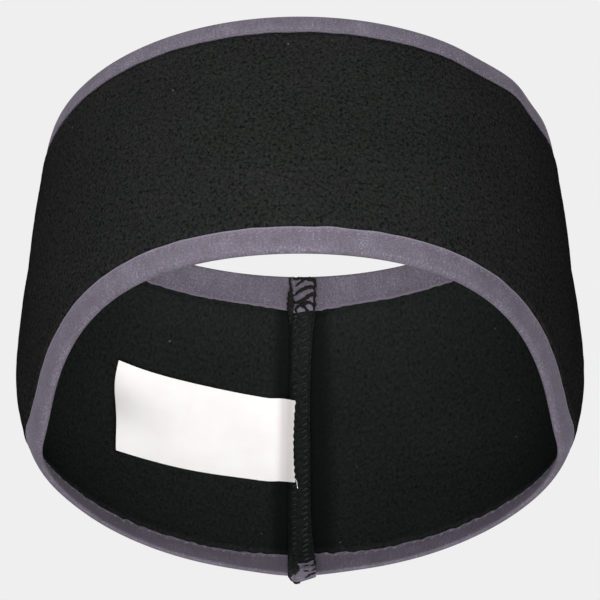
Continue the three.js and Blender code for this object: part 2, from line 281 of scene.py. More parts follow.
def fleece_half(up, press, leg):
    """Half thickness of the fleece, with a soft lip of pile beside the tape."""
    beyond = np.minimum(up, BAND_HEIGHT - up) - leg - SWELL_LENGTH
    full = mix(*FLEECE, press) / 2 + PILE_LIP * np.exp(-((beyond / 2.4) ** 2)) * (1 - press)
    return mix(mix(*FLEECE_IN_TAPE, press) / 2, full, swell_at(up, leg))


def bound_half(press):
    return mix(*FLEECE_IN_TAPE, press) / 2 + PLY_GAP + mix(*TAPE, press)


def layer_half(up, press):
    return mix(bound_half(press), mix(*FLEECE, press) / 2, swell_at(up))


def allowance_at(up):
    """Width of the seam allowance, narrower halfway up where it rolls in on itself."""
    return ALLOWANCE_WIDTH - ALLOWANCE_NARROWS * np.exp(-(((up - 47) / 43) ** 4))


def seam_at(up):
    """Where the two layers of the seam allowance lie, and the radius of their turns."""
    wall, flap = layer_half(up, 0), layer_half(up, 1)
    first = wall + PLY_GAP + flap
    radius = first / 2
    centre = PLY_GAP / 2 + layer_half(up, (1 + TURN_PRESS) / 2) + radius
    return first, first + PLY_GAP + 2 * flap, radius, centre


def outer_radius(up, angle):
    return seam_at(up)[2] + PLY_GAP + 2 * layer_half(up, mix(1, TURN_PRESS, angle / math.pi))


# A station is a line across the strip. It gives, for heights: along, inward, the way the outer
# face looks, and how much the layer is pressed.
def first_flap(share):
    def station(up):
        first, _, _, centre = seam_at(up)
        return mix(centre, allowance_at(up), share), first, 0.0, 1.0, 1.0
    return station


def first_turn(angle):
    def station(up):
        _, _, radius, centre = seam_at(up)
        s, c = math.sin(angle), math.cos(angle)
        return centre - radius * s, radius * (1 + c), -s, c, mix(1, TURN_PRESS, angle / math.pi)
    return station


def round_head(share):
    def station(up):
        _, _, radius, centre = seam_at(up)
        end = LOOP + centre - outer_radius(up, math.pi / 2) - radius
        along = mix(centre, end, share)
        near = np.minimum(along - centre, end - along)
        return along, 0.0, 0.0, -1.0, TURN_PRESS * (1 - smooth(near, 0, SETTLE_LENGTH))
    return station


def second_bend(angle):
    def station(up):
        _, _, radius, centre = seam_at(up)
        upright = LOOP + centre - outer_radius(up, math.pi / 2)
        s, c = math.sin(angle), math.cos(angle)
        press = mix(TURN_PRESS, (1 + TURN_PRESS) / 2, angle / (math.pi / 2))
        return upright - radius * (1 - s), radius * (1 - c), s, -c, press
    return station


def second_turn(angle):
    def station(up):
        _, _, radius, centre = seam_at(up)
        outer = outer_radius(up, angle)
        s, c = math.sin(angle), math.cos(angle)
        return LOOP + centre - outer * s, radius + outer * c, s, -c, mix(1, TURN_PRESS, angle / math.pi)
    return station


def second_flap(share):
    def station(up):
        _, second, _, centre = seam_at(up)
        return LOOP + mix(centre, allowance_at(up), share), second, 0.0, -1.0, 1.0
    return station


def strip_stations(round_steps, turn_steps, flap_steps):
    quarter = math.pi / 2
    stations = [first_flap(i / flap_steps) for i in range(flap_steps, 0, -1)]
    stations += [first_turn(math.pi * i / turn_steps) for i in range(turn_steps)]
    stations += [round_head(i / round_steps) for i in range(round_steps + 1)]
    stations += [second_bend(quarter * i / turn_steps) for i in range(1, turn_steps)]
    stations += [second_turn(quarter * i / turn_steps) for i in range(turn_steps, 0, -1)]
    stations += [second_flap(i / flap_steps) for i in range(flap_steps + 1)]
    return stations


def drop_at(along, inward, up):
    """How far the seam allowance hangs below the wall."""
    beside_seam = np.clip(1 - (np.mod(along + LOOP / 2, LOOP) - LOOP / 2) / ALLOWANCE_WIDTH, 0, 1)
    slant = ALLOWANCE_SLANT * beside_seam * (1 - up / BAND_HEIGHT)
    return smooth(inward, 0, seam_at(up)[1]) * (mix(*ALLOWANCE_DROP, up / BAND_HEIGHT) + slant)


def on_ridge(across, up, lift):
    """Points over the seam allowance. Across runs from where it turns: less than zero goes
    round the turn to the wall, and past the cut edge it goes down over that edge."""
    across, up, lift = np.broadcast_arrays(across, up, lift)
    _, second, radius, centre = seam_at(up)
    fold = bound_half(1)
    in_fold = np.clip(fold - np.minimum(up, BAND_HEIGHT - up), 0, fold)
    half = np.where(in_fold > 0, np.sqrt(fold ** 2 - in_fold ** 2), layer_half(up, 1))
    edge = allowance_at(up) - centre
    outer = second - radius
    angle = np.clip(-across / outer, 0, math.pi / 2)
    over = np.clip(across - edge, 0, None)
    corner = np.clip(over / (lift + 0.3), 0, math.pi / 2)
    down = np.clip(over - (lift + 0.3) * math.pi / 2, 0, None)
    reach = outer + half + lift
    along = centre + np.clip(across, 0, edge) - reach * np.sin(angle) + lift * np.sin(corner)
    inward = radius + reach * np.cos(angle) - lift * (1 - np.cos(corner)) - down
    return on_band(along, inward, up - drop_at(along, radius + outer * np.cos(angle), up))


def strip_skin(stations, profile):
    """Points of one skin of a strip, and each point's place on the strip in mm. The profile
    gives the height of each column and its distance towards the outer face, for a press."""
    places, marks = [], []
    for station in stations:
        press = station(np.array([0.0]))[4]
        up, offset = profile(float(np.mean(press)), station)
        along, inward, face_along, face_inward, _ = station(up)
        inward = inward + np.zeros_like(up)
        drop = drop_at(along, inward, up)
        places.append((along + offset * face_along, inward + offset * face_inward, up - drop))
        marks.append((along + np.zeros_like(up), up, offset))
    places = np.array(places)
    marks = np.array(marks)
    return on_band(places[:, 0], places[:, 1], places[:, 2]), np.moveaxis(marks, 1, 2)


# Cloth relief


def field(seed, shortest, longest, count):
    """A smooth random field over the strip, about -1 to 1: many waves of random direction."""
    rng = np.random.default_rng(seed)
    length = np.exp(rng.uniform(math.log(shortest), math.log(longest), count))
    turn = rng.uniform(0, math.pi, count)
    phase = rng.uniform(0, 2 * math.pi, count)
    kx = 2 * math.pi * np.cos(turn) / length
    ky = 2 * math.pi * np.sin(turn) / length

    def height(x, y):
        x, y = np.broadcast_arrays(x, y)
        total = np.zeros(x.shape)
        for a, b, p in zip(kx, ky, phase):
            total += np.sin(a * x + b * y + p)
        return total / math.sqrt(count / 2) / 2
    return height


OUTER_PILE = field(3, 2.8, 6.5, 46)
INNER_PILE = field(5, 3.0, 9.0, 40)
EDGE_WAVES = field(9, 7, 22, 12)
RAGGED_EDGE = field(11, 2.2, 7.0, 30)


# Meshes


def mesh_piece(name, points, faces, marks=None, material=None, sharp=None):
    mesh = bpy.data.meshes.new(name)
    mesh.from_pydata((np.asarray(points).reshape(-1, 3) * MM).tolist(), [], faces)
    mesh.update()
    for key, values in (marks or {}).items():
        values = np.asarray(values, np.float32)
        kind = "FLOAT_VECTOR" if values.ndim == 2 else "FLOAT"
        attribute = mesh.attributes.new(key, kind, "POINT")
        attribute.data.foreach_set("vector" if kind == "FLOAT_VECTOR" else "value", values.ravel())
    mesh.shade_smooth()
    if sharp is not None:
        mesh.set_sharp_from_angle(angle=math.radians(sharp))
    if material is not None:
        mesh.materials.append(material)
    made = bpy.data.objects.new(name, mesh)
    bpy.context.scene.collection.objects.link(made)
    return made


def closed_faces(lines, steps):
    """Faces of a closed solid between two skins, each a grid of lines by steps."""
    faces = []
    inner = lines * steps
    for i in range(lines - 1):
        a, b = i * steps, (i + 1) * steps
        for j in range(steps - 1):
            faces.append((a + j, b + j, b + j + 1, a + j + 1))
            faces.append((inner + a + j, inner + a + j + 1, inner + b + j + 1, inner + b + j))
        end = steps - 1
        faces.append((a, inner + a, inner + b, b))
        faces.append((a + end, b + end, inner + b + end, inner + a + end))
    last = (lines - 1) * steps
    for j in range(steps - 1):
        faces.append((j, j + 1, inner + j + 1, inner + j))
        faces.append((last + j, inner + last + j, inner + last + j + 1, last + j + 1))
    return faces


def closed_piece(name, first, second, marks, material, sharp=None):
    lines, steps = first.shape[:2]
    points = np.concatenate([first.reshape(-1, 3), second.reshape(-1, 3)])
    return mesh_piece(name, points, closed_faces(lines, steps), marks, material, sharp)


# Materials


def linear(hex_colour):
    value = [int(hex_colour[i:i + 2], 16) / 255 for i in (1, 3, 5)]
    return tuple(c / 12.92 if c <= 0.04045 else ((c + 0.055) / 1.055) ** 2.4 for c in value) + (1.0,)


def add(tree, kind, links=None, **settings):
    """Adds a node with its settings; links holds its inputs' values or the sockets they take."""
    made = tree.nodes.new(kind)
    for key, value in settings.items():
        setattr(made, key, value)
    for key, value in (links or {}).items():
        if isinstance(value, bpy.types.NodeSocket):
            tree.links.new(value, made.inputs[key])
        else:
            made.inputs[key].default_value = value
    return made


def new_material(name):
    made = bpy.data.materials.new(name)
    made.use_nodes = True
    made.node_tree.nodes.clear()
    return made, made.node_tree


def ramp(tree, factor, stops):
    made = add(tree, "ShaderNodeValToRGB", {0: factor})
    first, last = made.color_ramp.elements
    first.position, first.color = stops[0][0], linear(stops[0][1])
    last.position, last.color = stops[-1][0], linear(stops[-1][1])
    for position, colour in stops[1:-1]:
        made.color_ramp.elements.new(position).color = linear(colour)
    return made.outputs[0]


# Anti-pill polyester fleece: knitted, brushed and sheared. Its pile curls into small pebbles
# with pits about 2 mm apart on the outside and lies softer on the inside; the pits' darkness is
# painted shade in the pile's hollows. It is black and fully matt, with a little pale lint.
def fleece_material():
    made, tree = new_material("anti_pill_fleece_brushed")
    place = add(tree, "ShaderNodeAttribute", attribute_name="strip_mm").outputs["Vector"]
    inside = add(tree, "ShaderNodeAttribute", attribute_name="inside").outputs["Fac"]
    ridge_shade = add(tree, "ShaderNodeAttribute", attribute_name="painted_ridge_shade").outputs["Fac"]
    stir = add(tree, "ShaderNodeTexNoise", {"Vector": place, "Scale": 0.8, "Detail": 1.0}).outputs["Color"]
    stir = add(tree, "ShaderNodeVectorMath", {0: stir, 1: (1.5, 1.5, 0.0)}, operation="MULTIPLY").outputs[0]
    bent = add(tree, "ShaderNodeVectorMath", {0: place, 1: stir}, operation="ADD").outputs[0]
    bent = add(tree, "ShaderNodeVectorMath", {0: bent, 1: (1.0, 0.62, 1.0)},
               operation="MULTIPLY").outputs[0]
    gap = add(tree, "ShaderNodeTexVoronoi", {"Vector": bent, "Scale": 0.56},
              feature="DISTANCE_TO_EDGE").outputs[0]
    gap = add(tree, "ShaderNodeMapRange", {0: gap, 1: 0.03, 2: 0.17, 3: 1.0, 4: 0.0}).outputs[0]
    part = add(tree, "ShaderNodeTexNoise", {"Vector": place, "Scale": 0.9, "Detail": 1.0}).outputs["Fac"]
    part = add(tree, "ShaderNodeMapRange", {0: part, 1: 0.50, 2: 0.60}).outputs[0]
    pit = add(tree, "ShaderNodeMath", {0: gap, 1: part}, operation="MULTIPLY").outputs[0]
    grain = add(tree, "ShaderNodeTexNoise", {"Vector": bent, "Scale": 1.3, "Detail": 2.0}).outputs["Fac"]
    cloud = add(tree, "ShaderNodeTexNoise", {"Vector": place, "Scale": 0.05, "Detail": 2.0}).outputs["Fac"]
    # Painted shade: the colour darkens in the pits between the pebbles; the grain and the cloud are the
    # cloth's own uneven tone
    deep = add(tree, "ShaderNodeMapRange", {0: inside, 3: -0.27, 4: -0.12}).outputs[0]
    pile = add(tree, "ShaderNodeMath", {0: pit, 1: deep, 2: grain}, operation="MULTIPLY_ADD").outputs[0]
    pile = add(tree, "ShaderNodeMath", {0: cloud, 1: 0.15, 2: pile}, operation="MULTIPLY_ADD").outputs[0]
    shown = add(tree, "ShaderNodeMapRange", {0: pile, 1: 0.25, 2: 0.85}).outputs[0]
    outer = ramp(tree, shown, ((0.0, "#0b0d0c"), (0.5, "#191a19"), (1.0, "#232423")))
    soft = ramp(tree, shown, ((0.0, "#0f1110"), (0.5, "#1b1d1c"), (1.0, "#242625")))
    black = add(tree, "ShaderNodeMix", {0: inside, 6: outer, 7: soft}, data_type="RGBA").outputs[2]
    # Painted shade: the inner face is darkened beside the ridge, where the ridge's shadow falls
    flat = add(tree, "ShaderNodeMapRange", {0: ridge_shade, 3: 0.0, 4: 0.85}).outputs[0]
    black = add(tree, "ShaderNodeMix", {0: flat, 6: black, 7: linear("#0f1110")},
                data_type="RGBA").outputs[2]
    lint = add(tree, "ShaderNodeTexVoronoi", {"Vector": place, "Scale": 0.085}).outputs["Distance"]
    speck = add(tree, "ShaderNodeMapRange", {0: lint, 1: 0.015, 2: 0.035, 3: 0.4, 4: 0.0}).outputs[0]
    colour = add(tree, "ShaderNodeMix", {0: speck, 6: black, 7: linear("#6e6e6d")},
                 data_type="RGBA").outputs[2]
    strength = add(tree, "ShaderNodeMapRange", {0: inside, 3: 0.35, 4: 0.3}).outputs[0]
    bump = add(tree, "ShaderNodeBump", {"Height": pile, "Strength": strength, "Distance": 0.0008})
    shader = add(tree, "ShaderNodeBsdfPrincipled", {
        "Base Color": colour, "Roughness": 1.0, "Specular IOR Level": 0.0, "Normal": bump.outputs[0]})
    add(tree, "ShaderNodeOutputMaterial", {0: shader.outputs[0]})
    return made


# Fold-over elastic: a fine warp knit of dull nylon over rubber threads. Tiny loops about half a
# millimetre apart catch the light, and their glints are painted into the colour as paler specks;
# its wales run faintly across, and its edges are a paler selvedge.
def tape_material():
    made, tree = new_material("fold_over_elastic_knitted")
    place = add(tree, "ShaderNodeAttribute", attribute_name="strip_mm").outputs["Vector"]
    edge = add(tree, "ShaderNodeAttribute", attribute_name="selvedge").outputs["Fac"]
    wide = add(tree, "ShaderNodeVectorMath", {0: place, 1: (1.0, 0.22, 1.0)},
               operation="MULTIPLY").outputs[0]
    wale = add(tree, "ShaderNodeTexNoise", {"Vector": wide, "Scale": 1.1, "Detail": 2.0}).outputs["Fac"]
    loop_relief_and_glints = add(tree, "ShaderNodeTexNoise", {"Vector": place, "Scale": 1.7, "Detail": 2.0,
                                             "Roughness": 0.7}).outputs["Fac"]
    cloud = add(tree, "ShaderNodeTexNoise", {"Vector": place, "Scale": 0.12, "Detail": 3.0}).outputs["Fac"]
    knit = add(tree, "ShaderNodeMath", {0: wale, 1: 0.3, 2: loop_relief_and_glints}, operation="MULTIPLY_ADD").outputs[0]
    knit = add(tree, "ShaderNodeMath", {0: cloud, 1: 0.35, 2: knit}, operation="MULTIPLY_ADD").outputs[0]
    shown = add(tree, "ShaderNodeMapRange", {0: knit, 1: 0.6, 2: 1.05}).outputs[0]
    # Partly painted highlight: the paler specks from the loops stand in for their glints; the wales and the
    # cloud are the tape's own tone
    base = ramp(tree, shown, ((0.0, "#443e47"), (0.45, "#504a54"), (0.7, "#58525e"), (1.0, "#6c6772")))
    pale = add(tree, "ShaderNodeMix", {0: edge, 6: base, 7: linear("#68636e")}, data_type="RGBA").outputs[2]
    bump = add(tree, "ShaderNodeBump", {"Height": knit, "Strength": 0.3, "Distance": 0.00025})
    shader = add(tree, "ShaderNodeBsdfPrincipled", {
        "Base Color": pale, "Roughness": 0.75, "Specular IOR Level": 0.2, "Sheen Weight": 0.22,
        "Sheen Roughness": 0.4, "Sheen Tint": linear("#8f8898"), "Normal": bump.outputs[0]})
    add(tree, "ShaderNodeOutputMaterial", {0: shader.outputs[0]})
    return made


# Satin label ribbon: woven polyester, smooth and a little shiny, with a fine warp. It is greyer
# for about 4 mm from its sewn end, fading out by 6 mm.
def label_material():
    made, tree = new_material("satin_ribbon_woven")
    place = add(tree, "ShaderNodeAttribute", attribute_name="strip_mm").outputs["Vector"]
    along = add(tree, "ShaderNodeSeparateXYZ", {0: place}).outputs[0]
    sewn = add(tree, "ShaderNodeMapRange", {0: along, 1: -6.2, 2: -3.6},
               interpolation_type="SMOOTHSTEP").outputs[0]
    warp = add(tree, "ShaderNodeTexWave", {"Vector": place, "Scale": 0.8, "Distortion": 0.6},
               bands_direction="Y").outputs["Fac"]
    cloud = add(tree, "ShaderNodeTexNoise", {"Vector": place, "Scale": 0.09, "Detail": 2.0}).outputs["Fac"]
    white = ramp(tree, cloud, ((0.3, "#f0edeb"), (0.7, "#f6f4f2")))
    colour = add(tree, "ShaderNodeMix", {0: sewn, 6: white, 7: linear("#dad5d4")},
                 data_type="RGBA").outputs[2]
    bump = add(tree, "ShaderNodeBump", {"Height": warp, "Strength": 0.12, "Distance": 0.0001})
    shader = add(tree, "ShaderNodeBsdfPrincipled", {
        "Base Color": colour, "Roughness": 0.55, "Specular IOR Level": 0.25, "Normal": bump.outputs[0]})
    add(tree, "ShaderNodeOutputMaterial", {0: shader.outputs[0]})
    return made


# Spun polyester thread: fine twisted fibres, matt with a soft edge sheen.
def thread_material(name, dark, light):
    made, tree = new_material(name)
    place = add(tree, "ShaderNodeTexCoord").outputs["Object"]
    fibre = add(tree, "ShaderNodeTexNoise",
                {"Vector": place, "Scale": 2600.0, "Detail": 2.0}).outputs["Fac"]
    colour = ramp(tree, fibre, ((0.3, dark), (0.7, light)))
    bump = add(tree, "ShaderNodeBump", {"Height": fibre, "Strength": 0.4, "Distance": 0.0001})
    shader = add(tree, "ShaderNodeBsdfPrincipled", {
        "Base Color": colour, "Roughness": 0.85, "Specular IOR Level": 0.1, "Normal": bump.outputs[0]})
    add(tree, "ShaderNodeOutputMaterial", {0: shader.outputs[0]})
    return made


fleece = fleece_material()
tape = tape_material()
ribbon = label_material()
black_thread = thread_material("overlock_thread_spun_polyester", "#0b0c0c", "#1d1e1e")
# Painted highlight: the needle thread is a paler black than the looper thread, standing in for light on its
# small loops
needle_thread_highlit = thread_material("needle_thread_spun_polyester_painted_highlight", "#1a1b1a", "#2e2f2e")
grey_thread = thread_material("binding_thread_spun_polyester", "#5d5663", "#7b7383")
white_thread = thread_material("label_thread_spun_polyester", "#c9c6c6", "#efecec")


# Fleece strip

STATIONS = strip_stations(520, 10, 7)


def leg_at(is_upper, is_inner, along):
    """Width of a binding's leg at a length along the strip."""
    if not is_inner:
        return TAPE_WIDTH + OUTER_LEG_WAVES * EDGE_WAVES(along, 0.0 if is_upper else 40.0)
    name = "upper" if is_upper else "lower"
    width, beside_seam, rough = INNER_LEGS[name]
    ragged = RAGGED_EDGE(along, 0.0) * rough
    from_seam = np.mod(along + LOOP / 2, LOOP) - LOOP / 2
    centre, reach = INNER_LEG_WIDENS
    wall = width + beside_seam * np.exp(-(((from_seam - centre) / reach) ** 2))
    table = np.array(RIDGE_LEGS[name])
    ridge = np.interp(from_seam, table[:, 0], table[:, 1])
    return np.where(along > LOOP - RIDGE_LEG_STARTS, ridge + 0.5 * ragged, wall + ragged)


def fleece_rows():
    """Heights of the strip's rows: close at the tapes, even between."""
    ends = [TAPE[0] + 1.0, 3.8] + list(np.linspace(5.4, 13.1, 12))
    middle = list(np.linspace(ends[-1], BAND_HEIGHT - ends[-1], 50))[1:-1]
    return np.array(ends + middle + [BAND_HEIGHT - up for up in reversed(ends)])


def fleece_profile(side):
    rows = fleece_rows()
    height, drawn_out = PEBBLES[side]

    def profile(press, station):
        along = station(rows)[0] + np.zeros_like(rows)
        is_upper = rows > BAND_HEIGHT / 2
        leg = np.where(is_upper, leg_at(True, side < 0, along), leg_at(False, side < 0, along))
        relief = (OUTER_PILE if side > 0 else INNER_PILE)(along, drawn_out * rows)
        shown = swell_at(rows, leg) * (1 - 0.6 * press)
        pebble = height * np.minimum(relief, PEBBLE_TOP) * shown
        return rows, side * (fleece_half(rows, press, leg) + pebble)
    return profile


def painted_ridge_shade():
    """Painted shade in the wall beside the ridge: one value for each station of the strip."""
    middle = np.array([BAND_HEIGHT / 2])
    along, inward = (np.array([float(np.mean(station(middle)[i])) for station in STATIONS]) for i in (0, 1))
    right = 1 - smooth(along, *RIDGE_SHADE_FADE[0])
    left = 1 - smooth(LOOP - along, *RIDGE_SHADE_FADE[1])
    return np.where(np.abs(inward) < 0.5, np.where(along < LOOP / 2, right, left), 0.0)


def make_fleece():
    inner, inner_marks = strip_skin(STATIONS, fleece_profile(-1))
    outer, outer_marks = strip_skin(STATIONS, fleece_profile(1))
    marks = np.concatenate([inner_marks.reshape(-1, 3), outer_marks.reshape(-1, 3)])
    inside = np.concatenate([np.ones(inner_marks[..., 0].size), np.zeros(outer_marks[..., 0].size)])
    # The two faces take their pattern from different depths
    marks[:, 2] = np.where(inside > 0.5, 40.0, 0.0)
    # Painted shade beside the ridge, on the inner face only
    ridge_shade = np.concatenate([np.repeat(painted_ridge_shade(), inner.shape[1]), np.zeros(outer_marks[..., 0].size)])
    values = {"strip_mm": marks, "inside": inside, "painted_ridge_shade": ridge_shade}
    return closed_piece("fleece_cloth", inner, outer, values, fleece)


# Bindings


def tape_columns():
    """Columns across the folded tape: share of the leg or angle of the fold, and which side."""
    leg = np.linspace(0, 1, 15)
    fold = np.linspace(0, math.pi, 11)[1:-1]
    return leg, fold


def tape_profile(is_upper, skin):
    leg, fold = tape_columns()

    def profile(press, station):
        outside = bound_half(press)
        reach = outside if skin == "outside" else outside - mix(*TAPE, press)
        along = float(np.mean(station(np.array([50.0]))[0]))
        pucker = 0.6 + 0.4 * math.cos(2 * math.pi * along / BINDING_STITCH)
        legs = []
        for side, inset in GROOVE_INSETS:
            edge = float(leg_at(is_upper, side < 0, along))
            down = edge - (edge - outside) * (leg if side > 0 else leg[::-1])
            groove = GROOVE[0] * pucker * np.exp(-(((down - edge + inset) / GROOVE[1]) ** 2))
            lip = EDGE_LIP[0] * np.exp(-(((down - edge) / EDGE_LIP[1]) ** 2))
            crown = np.clip((down - outside) / (edge - inset - outside), 0, 1)
            out = reach - groove + lip + CROWN * np.sin(crown * math.pi)
            legs.append((down, side * out))
        from_rim = np.concatenate([legs[0][0], outside - reach * np.sin(fold), legs[1][0]])
        offset = np.concatenate([legs[0][1], reach * np.cos(fold), legs[1][1]])
        return (BAND_HEIGHT - from_rim if is_upper else from_rim), offset
    return profile


def make_tape(name, is_upper):
    outside, marks_out = strip_skin(STATIONS, tape_profile(is_upper, "outside"))
    inside, marks_in = strip_skin(STATIONS, tape_profile(is_upper, "inside"))
    leg, fold = tape_columns()
    width = np.concatenate([leg * TAPE_WIDTH, TAPE_WIDTH + fold, TAPE_WIDTH + math.pi + leg * TAPE_WIDTH])
    marks_out[..., 1] = width
    marks_in[..., 1] = width
    marks_in[..., 2] = 5.0
    marks_out[..., 2] = 0.0
    near_edge = np.minimum(width, width[-1] - width)
    selvedge = np.exp(-((near_edge / SELVEDGE_WIDTH) ** 2)) * np.where(width < TAPE_WIDTH, *SELVEDGE_PALE)
    selvedge = np.broadcast_to(selvedge, marks_out.shape[:2]).ravel()
    pair = (inside, outside) if is_upper else (outside, inside)
    marked = (marks_in, marks_out) if is_upper else (marks_out, marks_in)
    marks = {
        "strip_mm": np.concatenate([m.reshape(-1, 3) for m in marked]),
        "selvedge": np.concatenate([selvedge, selvedge]),
    }
    return closed_piece(name, *pair, marks, tape, 55)


# Label


def label_line():
    """The label's path from its sewn end: lengths along and inward."""
    _, second, _, _ = seam_at(np.array([BAND_HEIGHT / 2]))
    lying = mix(*FLEECE, 0) / 2 + 0.35
    ridge = float(second[0]) + mix(*FLEECE, 1) / 2 - mix(*FLEECE, 0) / 2
    back = np.array([row[0] for row in LABEL_RISE]) * ridge
    lift = np.array([row[1] for row in LABEL_RISE]) * ridge
    along = np.concatenate([np.linspace(0, back[-1], 22), np.linspace(back[-1], LABEL_LENGTH, 50)[1:]])
    inward = lying + np.interp(along, back, lift)
    kernel = np.array([1, 2, 3, 2, 1]) / 9
    inward[2:-2] = np.convolve(inward, kernel, "valid")
    return along, inward


def make_label():
    length, inward = label_line()
    share = length / LABEL_LENGTH
    rows = np.linspace(0, 1, 33)
    table = np.array(LABEL_EDGES)
    low_edge = np.polyval(np.polyfit(table[:, 0], table[:, 1], 2), share)
    top_edge = np.polyval(np.polyfit(table[:, 0], table[:, 2], 2), share)
    hang = sum(deep * np.exp(-(((length - place) / reach) ** 2)) for deep, place, reach in LABEL_HANGS)
    up = (low_edge - hang)[:, None] + (top_edge - low_edge)[:, None] * rows
    bow = LABEL_END_BOW * np.sin(rows * math.pi)[None, :] * (share ** 6)[:, None]
    bow += LABEL_END_SLANT * (2 * rows - 1)[None, :] * (share ** 4)[:, None]
    tooth, pitch = LABEL_TEETH
    teeth = tooth * np.abs(np.sin(math.pi * up / pitch)) + LABEL_SEWN_BOW * np.sin(rows * math.pi)[None, :]
    along = -length[:, None] - bow - teeth * np.exp(-(length / 1.5))[:, None]
    lift = 0.55 + 0.45 * np.cos(2.2 * math.pi * (rows - 0.35))
    curl = LABEL_END_LIFT * (share ** 5)[:, None] * lift[None, :]
    sway = 0.25 * np.sin(share * 9)[:, None] * np.cos(rows * 4)[None, :] * smooth(share, 0.1, 0.4)[:, None]
    lifted = inward[:, None] + curl + sway + 0.18
    half = LABEL_THICKNESS / 2
    shown = on_band(along, lifted + half, up)
    hidden = on_band(along, lifted - half, up)
    marks = np.stack([along, up, np.zeros_like(up)], axis=-1).reshape(-1, 3)
    marks = {"strip_mm": np.concatenate([marks, marks])}
    return closed_piece("satin_label", hidden, shown, marks, ribbon, 50)


# Threads and stitches


def new_tree(name, sockets):
    """A geometry tree with its inputs: each is a name and a kind of socket."""
    tree = bpy.data.node_groups.new(name, "GeometryNodeTree")
    tree.interface.new_socket(name="Geometry", in_out="OUTPUT", socket_type="NodeSocketGeometry")
    tree.interface.new_socket(name="Geometry", in_out="INPUT", socket_type="NodeSocketGeometry")
    for socket, kind in sockets.items():
        tree.interface.new_socket(name=socket, in_out="INPUT", socket_type=kind)
    return tree, tree.nodes.new("NodeGroupInput").outputs


def end_tree(tree, geometry, material):
    smoothed = add(tree, "GeometryNodeSetShadeSmooth", {0: geometry}).outputs[0]
    real = add(tree, "GeometryNodeRealizeInstances", {0: smoothed}).outputs[0]
    done = add(tree, "GeometryNodeSetMaterial", {"Geometry": real, "Material": material}).outputs[0]
    add(tree, "NodeGroupOutput", {0: done})


def thread_tree():
    """A twisted, slightly fluffy thread along each line of the seed mesh."""
    tree, given = new_tree("twisted_thread", {
        "Step": "NodeSocketFloat", "Twist": "NodeSocketFloat", "Fluff": "NodeSocketFloat",
        "Material": "NodeSocketMaterial"})
    line = add(tree, "GeometryNodeMeshToCurve", {0: given["Geometry"]}).outputs[0]
    line = add(tree, "GeometryNodeResampleCurve", {"Curve": line, "Length": given["Step"]},
               mode="LENGTH").outputs[0]
    length = add(tree, "GeometryNodeSplineParameter").outputs["Length"]
    turn = add(tree, "ShaderNodeMath", {0: length, 1: given["Twist"]}, operation="MULTIPLY").outputs[0]
    line = add(tree, "GeometryNodeSetCurveTilt", {"Curve": line, "Tilt": turn}).outputs[0]
    ring = add(tree, "GeometryNodeCurvePrimitiveCircle", {"Resolution": 8, "Radius": 1.0}).outputs[0]
    ring = add(tree, "GeometryNodeTransform", {"Geometry": ring, "Scale": (1.15, 0.8, 1.0)}).outputs[0]
    thick = add(tree, "GeometryNodeInputNamedAttribute", {"Name": "thickness"},
                data_type="FLOAT").outputs[0]
    tube = add(tree, "GeometryNodeCurveToMesh", {
        "Curve": line, "Profile Curve": ring, "Scale": thick, "Fill Caps": True}).outputs[0]
    noise = add(tree, "ShaderNodeTexNoise", {"Scale": 1500.0, "Detail": 1.0}).outputs["Fac"]
    swell = add(tree, "ShaderNodeMath", {0: noise, 1: 0.5}, operation="SUBTRACT").outputs[0]
    swell = add(tree, "ShaderNodeMath", {0: swell, 1: given["Fluff"]}, operation="MULTIPLY").outputs[0]
    normal = add(tree, "GeometryNodeInputNormal").outputs["Normal"]
    push = add(tree, "ShaderNodeVectorMath", {0: normal, "Scale": swell}, operation="SCALE").outputs[0]
    tube = add(tree, "GeometryNodeSetPosition", {"Geometry": tube, "Offset": push}).outputs[0]
    end_tree(tree, tube, given["Material"])
    return tree


def stitch_tree():
    """A short stitch on each point of the seed mesh, lying along heading and facing outwards."""
    tree, given = new_tree("stitch_row", {"Size": "NodeSocketVector", "Material": "NodeSocketMaterial"})
    bead = add(tree, "GeometryNodeMeshUVSphere", {"Segments": 5, "Rings": 4, "Radius": 0.5}).outputs[0]
    bead = add(tree, "GeometryNodeTransform", {"Geometry": bead, "Scale": given["Size"]}).outputs[0]
    strands = tree.nodes.new("GeometryNodeJoinGeometry")
    for shift in ((0.0003, 0.00045, 0.0), (0.0, 0.0, 0.0), (-0.0002, -0.00045, 0.0)):
        strand = add(tree, "GeometryNodeTransform", {"Geometry": bead, "Translation": shift}).outputs[0]
        tree.links.new(strand, strands.inputs[0])
    heading = add(tree, "GeometryNodeInputNamedAttribute", {"Name": "heading"},
                  data_type="FLOAT_VECTOR").outputs[0]
    facing = add(tree, "GeometryNodeInputNamedAttribute", {"Name": "facing"},
                 data_type="FLOAT_VECTOR").outputs[0]
    turn = add(tree, "FunctionNodeAlignRotationToVector", {"Vector": heading}, axis="X").outputs[0]
    turn = add(tree, "FunctionNodeAlignRotationToVector", {"Rotation": turn, "Vector": facing},
               axis="Z", pivot_axis="X").outputs[0]
    row = add(tree, "GeometryNodeInstanceOnPoints", {
        "Points": given["Geometry"], "Instance": strands.outputs[0], "Rotation": turn}).outputs[0]
    end_tree(tree, row, given["Material"])
    return tree


def grown(name, seed, tree, values):
    """The finished mesh that a geometry tree makes from a seed mesh."""
    modifier = seed.modifiers.new("grow", "NODES")
    modifier.node_group = tree
    for item in tree.interface.items_tree:
        if item.in_out == "INPUT" and item.name in values:
            modifier[item.identifier] = values[item.name]
    shape = seed.evaluated_get(bpy.context.evaluated_depsgraph_get())
    mesh = bpy.data.meshes.new_from_object(shape)
    mesh.name = name
    seed.modifiers.clear()
    bpy.data.objects.remove(seed)
    made = bpy.data.objects.new(name, mesh)
    bpy.context.scene.collection.objects.link(made)
    return made


